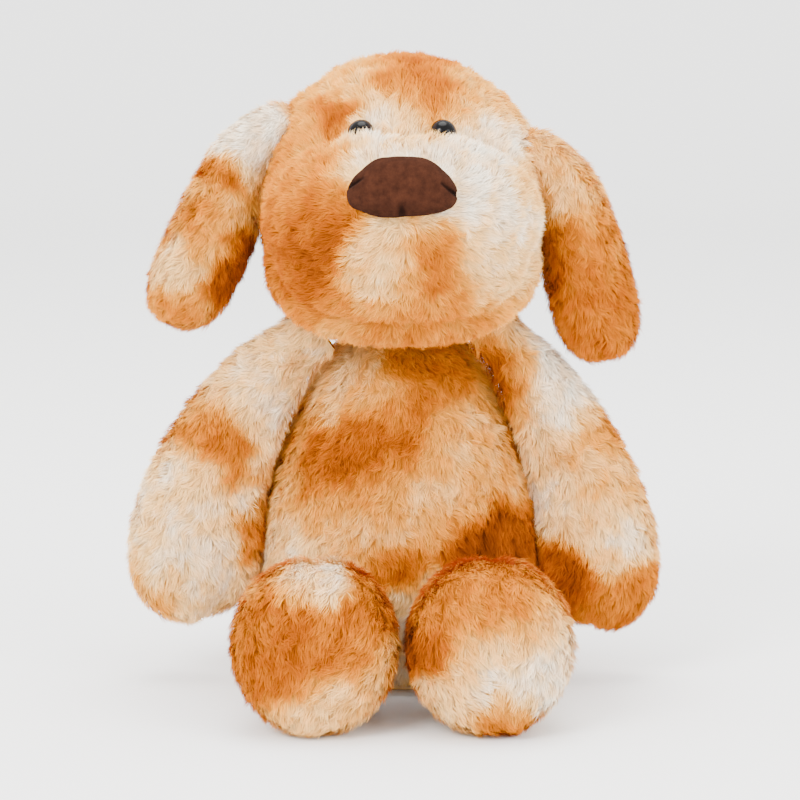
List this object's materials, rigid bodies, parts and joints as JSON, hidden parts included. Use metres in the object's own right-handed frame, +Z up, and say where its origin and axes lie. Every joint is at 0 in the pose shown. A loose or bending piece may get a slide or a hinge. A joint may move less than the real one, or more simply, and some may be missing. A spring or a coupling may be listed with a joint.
{
  "type": "plush dog",
  "caption": "Sitting plush dog with a padded muzzle, floppy ears and hanging stuffed arms; soft toy that sits on a flat seat, with a head that turns and nods and limbs that swing.",
  "frame": {"origin": "middle of the toy's outline, on the surface that it sits on", "axes": "+Z up from the seat to the crown, the dog looks along -Y, its right-hand side for a viewer in front is +X"},
  "size_m": [0.255, 0.2403, 0.301],
  "materials": {
    "tie_dye_fur": "long soft polyester pile, dyed in soft patches of cream, beige, orange and rust",
    "nose_suede": "short-napped brown suede cloth",
    "eye_plastic": "polished dark brown-black dome",
    "washer_plastic": "moulded natural nylon",
    "fibrefill": "loose white polyester fibre"
  },
  "bodies": {
    "torso": {"belly_panel": "tie_dye_fur", "back_panel_left": "tie_dye_fur", "back_panel_right": "tie_dye_fur", "seat_panel": "tie_dye_fur", "torso_stuffing": "fibrefill"},
    "neck": {"neck_seam": "tie_dye_fur"},
    "head": {"head_gusset": "tie_dye_fur", "head_side_left": "tie_dye_fur", "head_side_right": "tie_dye_fur", "muzzle_panel": "tie_dye_fur", "chin_panel": "tie_dye_fur", "head_stuffing": "fibrefill", "nose_cover": "nose_suede", "nose_padding": "fibrefill", "eye_left": "eye_plastic", "eye_right": "eye_plastic", "eye_washer_left": "washer_plastic", "eye_washer_right": "washer_plastic"},
    "tail": {"tail_left": "tie_dye_fur", "tail_right": "tie_dye_fur", "tail_stuffing": "fibrefill"},
    "ear_left": {"ear_outer_left": "tie_dye_fur", "ear_inner_left": "tie_dye_fur", "ear_filling_left": "fibrefill"},
    "shoulder_left": {"shoulder_seam_left": "tie_dye_fur"},
    "arm_left": {"arm_outer_left": "tie_dye_fur", "arm_inner_left": "tie_dye_fur", "arm_stuffing_left": "fibrefill"},
    "leg_left": {"leg_outer_left": "tie_dye_fur", "leg_inner_left": "tie_dye_fur", "sole_panel_left": "tie_dye_fur", "leg_stuffing_left": "fibrefill"},
    "ear_right": {"ear_outer_right": "tie_dye_fur", "ear_inner_right": "tie_dye_fur", "ear_filling_right": "fibrefill"},
    "shoulder_right": {"shoulder_seam_right": "tie_dye_fur"},
    "arm_right": {"arm_outer_right": "tie_dye_fur", "arm_inner_right": "tie_dye_fur", "arm_stuffing_right": "fibrefill"},
    "leg_right": {"leg_outer_right": "tie_dye_fur", "leg_inner_right": "tie_dye_fur", "sole_panel_right": "tie_dye_fur", "leg_stuffing_right": "fibrefill"}
  },
  "joints": [
    {"name": "neck_turn", "type": "hinge", "parent": "torso", "child": "neck", "pos_m": [0.0039, 0.0332, 0.172], "axis": [0, 0, 1], "range_deg": [-20, 20]},
    {"name": "head_nod", "type": "hinge", "parent": "neck", "child": "head", "pos_m": [0.0039, 0.0332, 0.172], "axis": [1, 0, 0], "range_deg": [-15, 6]},
    {"name": "tail_lift", "type": "hinge", "parent": "torso", "child": "tail", "pos_m": [0.0039, 0.0932, 0.027], "axis": [1, 0, 0], "range_deg": [-20, 45]},
    {"name": "ear_lift_left", "type": "hinge", "parent": "head", "child": "ear_left", "pos_m": [-0.0671, 0.0162, 0.273], "axis": [0, 1, 0], "range_deg": [0, 75]},
    {"name": "arm_swing_left", "type": "hinge", "parent": "torso", "child": "shoulder_left", "pos_m": [-0.0327, 0.0132, 0.161], "axis": [-1, 0, 0], "range_deg": [-15, 50]},
    {"name": "arm_lift_left", "type": "hinge", "parent": "shoulder_left", "child": "arm_left", "pos_m": [-0.0531, 0.0132, 0.156], "axis": [-0.6428, 0.766, 0], "range_deg": [0, 40]},
    {"name": "leg_lift_left", "type": "hinge", "parent": "torso", "child": "leg_left", "pos_m": [-0.0321, -0.0498, 0.0365], "axis": [-1, 0, 0], "range_deg": [-55, 35]},
    {"name": "ear_lift_right", "type": "hinge", "parent": "head", "child": "ear_right", "pos_m": [0.0789, 0.0162, 0.261], "axis": [0, -1, 0], "range_deg": [0, 75]},
    {"name": "arm_swing_right", "type": "hinge", "parent": "torso", "child": "shoulder_right", "pos_m": [0.0405, 0.0132, 0.161], "axis": [-1, 0, 0], "range_deg": [-15, 50]},
    {"name": "arm_lift_right", "type": "hinge", "parent": "shoulder_right", "child": "arm_right", "pos_m": [0.0609, 0.0132, 0.156], "axis": [-0.6428, -0.766, 0], "range_deg": [0, 32]},
    {"name": "leg_lift_right", "type": "hinge", "parent": "torso", "child": "leg_right", "pos_m": [0.0399, -0.0498, 0.0365], "axis": [-1, 0, 0], "range_deg": [-55, 35]}
  ]
}
